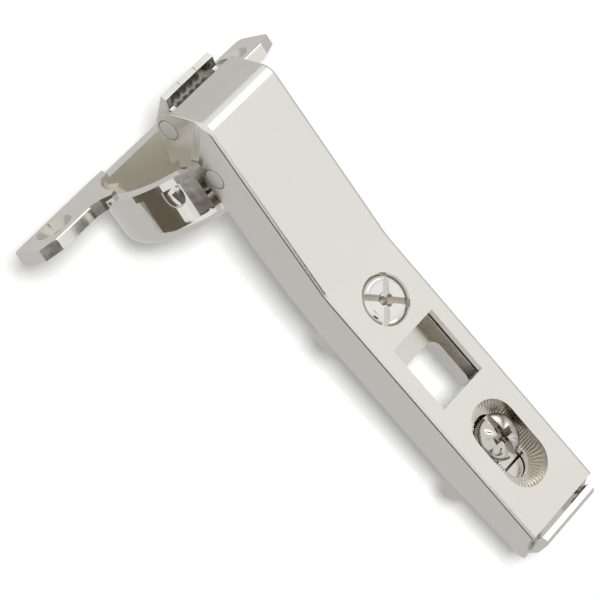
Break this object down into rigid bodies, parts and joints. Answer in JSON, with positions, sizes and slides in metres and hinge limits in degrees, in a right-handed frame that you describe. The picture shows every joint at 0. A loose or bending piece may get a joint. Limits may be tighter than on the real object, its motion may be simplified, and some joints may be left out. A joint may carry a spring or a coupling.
{
  "type": "concealed cup hinge",
  "caption": "Concealed cup hinge shown open: round cup with screw wings, folding linkage and an angled clip-on arm with side and depth adjusting screws.",
  "frame": {"origin": "centre of the 35 mm cup in the plane of the door face, under the flange", "axes": "+X from the cup towards the arm, +Y out of the cup and square to the door face, +Z along the pivot pins towards one screw wing"},
  "size_m": [0.0584, 0.1065, 0.0668],
  "materials": {
    "cup_casting": "nickel plated",
    "arm_sheet": "nickel plated",
    "inner_sheet": "satin nickel",
    "pin_steel": "bright",
    "screw_nickel": "nickel plated",
    "spring_steel": "drawn wire"
  },
  "bodies": {
    "cup": {"hinge_cup": "cup_casting", "cup_pin_outer": "pin_steel", "cup_pin_inner": "pin_steel"},
    "outer": {"outer_link": "arm_sheet"},
    "inner": {"inner_link": "inner_sheet"},
    "arm": {"arm": "arm_sheet", "arm_pin_front": "pin_steel", "arm_pin_rear": "pin_steel", "pin_washers": "pin_steel", "closing_spring": "spring_steel"},
    "side_adjuster": {"side_screw": "screw_nickel"},
    "slider": {"clamp_plate": "inner_sheet"},
    "depth_adjuster": {"depth_screw": "screw_nickel"},
    "clip": {"adapter": "inner_sheet", "lever_pin": "pin_steel", "lever_spring": "spring_steel"},
    "lever": {"release_lever": "arm_sheet"}
  },
  "joints": [
    {"name": "outer_swing", "type": "hinge", "parent": "cup", "child": "outer", "pos_m": [0.0091, -0.0026, 0], "axis": [0, 0, 1], "range_deg": [0, 88.2]},
    {"name": "arm_swing", "type": "hinge", "parent": "outer", "child": "arm", "pos_m": [0.0139, 0.0088, 0], "axis": [0, 0, 1], "range_deg": [0, 6.8]},
    {"name": "inner_swing", "type": "hinge", "parent": "cup", "child": "inner", "pos_m": [0.0037, -0.006, 0], "axis": [0, 0, 1], "range_deg": [0, 56.9]},
    {"name": "side_turn", "type": "hinge", "parent": "arm", "child": "side_adjuster", "pos_m": [0.02503, -0.0387, 0], "axis": [0.9736, 0.2284, 0], "range_deg": [0, 360]},
    {"name": "depth_slide", "type": "slide", "parent": "arm", "child": "slider", "axis": [0.2284, -0.9736, 0], "range_m": [-0.0005, 0.004]},
    {"name": "depth_turn", "type": "hinge", "parent": "slider", "child": "depth_adjuster", "pos_m": [0.03257, -0.07083, 0], "axis": [0.9736, 0.2284, 0], "range_deg": [0, 360]},
    {"name": "clip_tilt", "type": "hinge", "parent": "slider", "child": "clip", "pos_m": [0.03411, -0.08177, 0], "axis": [0, 0, 1], "range_deg": [0, 1.5]},
    {"name": "lever_release", "type": "hinge", "parent": "clip", "child": "lever", "pos_m": [0.0311, -0.08206, 0], "axis": [0, 0, -1], "range_deg": [0, 8], "stiffness_Nm_per_rad": 0.002, "springref_deg": -5.73}
  ],
  "couplings": [
    {"joint": "arm_swing", "follows": "outer_swing", "ratio": 0.0771},
    {"joint": "inner_swing", "follows": "outer_swing", "ratio": 0.6451},
    {"joint": "clip_tilt", "follows": "side_turn", "ratio": 0.004166}
  ]
}
